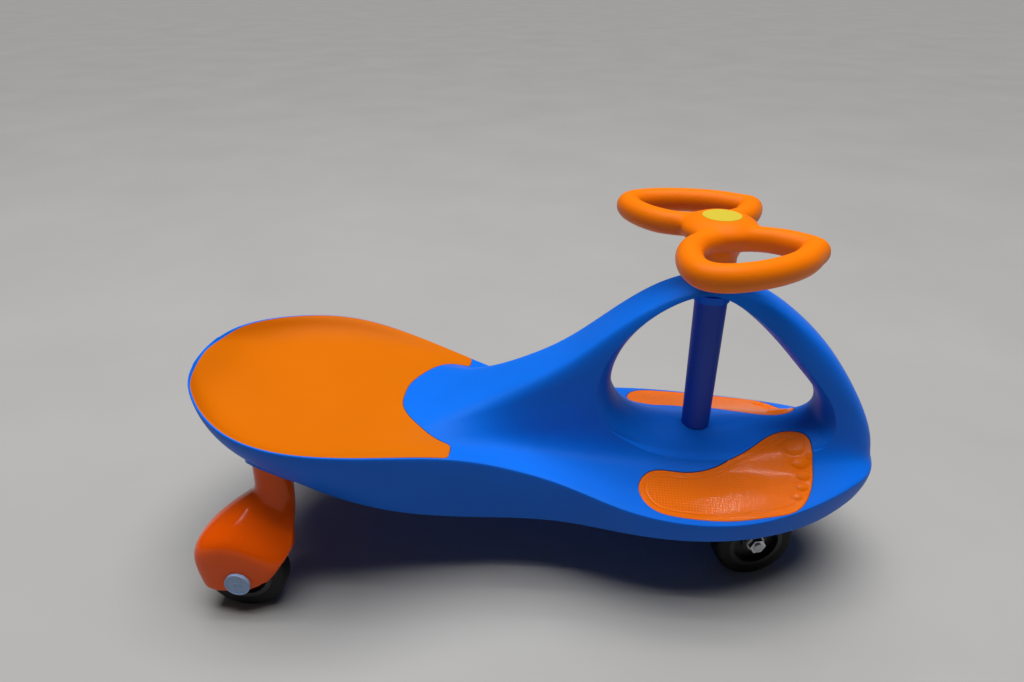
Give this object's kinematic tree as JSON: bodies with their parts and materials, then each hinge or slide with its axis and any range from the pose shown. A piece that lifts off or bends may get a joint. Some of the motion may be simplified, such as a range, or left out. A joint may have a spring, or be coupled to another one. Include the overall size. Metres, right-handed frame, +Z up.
{
  "type": "wiggle car",
  "caption": "Child's ride-on car: moulded waisted shell with seat and footrest inlays, arch-held steering column with a two-loop wheel over a trailing axle, rear wheels on legs.",
  "frame": {"origin": "on the floor under the middle of the car's length and width", "axes": "+X forward along the car, +Y to the rider's left, +Z up"},
  "size_m": [0.756, 0.344, 0.4],
  "materials": {
    "blue_shell": "glossy moulded",
    "orange_seat": "satin moulded",
    "orange_foot": "glossy with a fine dot grain",
    "orange_leg": "glossy moulded",
    "orange_wheel": "satin moulded",
    "dark_blue": "matte moulded",
    "yellow_cap": "satin moulded",
    "grey_cap": "satin moulded",
    "bush": "satin moulded",
    "steel": "zinc plated",
    "bright": "bright plated",
    "black_metal": "black paint",
    "black_hub": "satin moulded",
    "tyre": "smooth solid rubber"
  },
  "bodies": {
    "car": {"body_shell": "blue_shell", "seat_panel": "orange_seat", "footrest_left": "orange_foot", "footrest_right": "orange_foot", "column_sleeve": "dark_blue", "upper_bush": "bush", "lower_bush": "bush", "rear_leg_left": "orange_leg", "rear_leg_right": "orange_leg", "leg_screws": "steel", "rear_bolt_left": "steel", "rear_bolt_right": "steel", "rear_nuts": "steel", "rear_washers": "steel", "hub_cap_left": "grey_cap", "hub_cap_right": "grey_cap"},
    "steering": {"steering_wheel": "orange_wheel", "wheel_cap": "yellow_cap", "wheel_washer": "steel", "wheel_nut": "steel", "steering_shaft": "steel", "thrust_washer": "bush", "steering_bracket": "black_metal", "bracket_pin": "steel", "front_axle": "steel", "front_washers": "steel", "front_nuts": "bright"},
    "front_wheel_left": {"front_hub_left": "black_hub", "front_tyre_left": "tyre", "front_bush_left": "bush"},
    "front_wheel_right": {"front_hub_right": "black_hub", "front_tyre_right": "tyre", "front_bush_right": "bush"},
    "rear_wheel_left": {"rear_hub_left": "black_hub", "rear_tyre_left": "tyre", "rear_bush_left": "bush"},
    "rear_wheel_right": {"rear_hub_right": "black_hub", "rear_tyre_right": "tyre", "rear_bush_right": "bush"}
  },
  "joints": [
    {"name": "steering_turn", "type": "hinge", "parent": "car", "child": "steering", "pos_m": [0.18303, 0, 0.2], "axis": [0, 0, 1], "continuous": true},
    {"name": "front_left_roll", "type": "hinge", "parent": "steering", "child": "front_wheel_left", "pos_m": [0.23057, 0.01185, 0.045], "axis": [-0.2419, 0.9703, 0], "continuous": true},
    {"name": "front_right_roll", "type": "hinge", "parent": "steering", "child": "front_wheel_right", "pos_m": [0.23057, 0.01185, 0.045], "axis": [-0.2419, 0.9703, 0], "continuous": true},
    {"name": "rear_left_roll", "type": "hinge", "parent": "car", "child": "rear_wheel_left", "pos_m": [-0.30202, 0, 0.045], "axis": [0, 1, 0], "continuous": true},
    {"name": "rear_right_roll", "type": "hinge", "parent": "car", "child": "rear_wheel_right", "pos_m": [-0.30202, 0, 0.045], "axis": [0, 1, 0], "continuous": true}
  ]
}
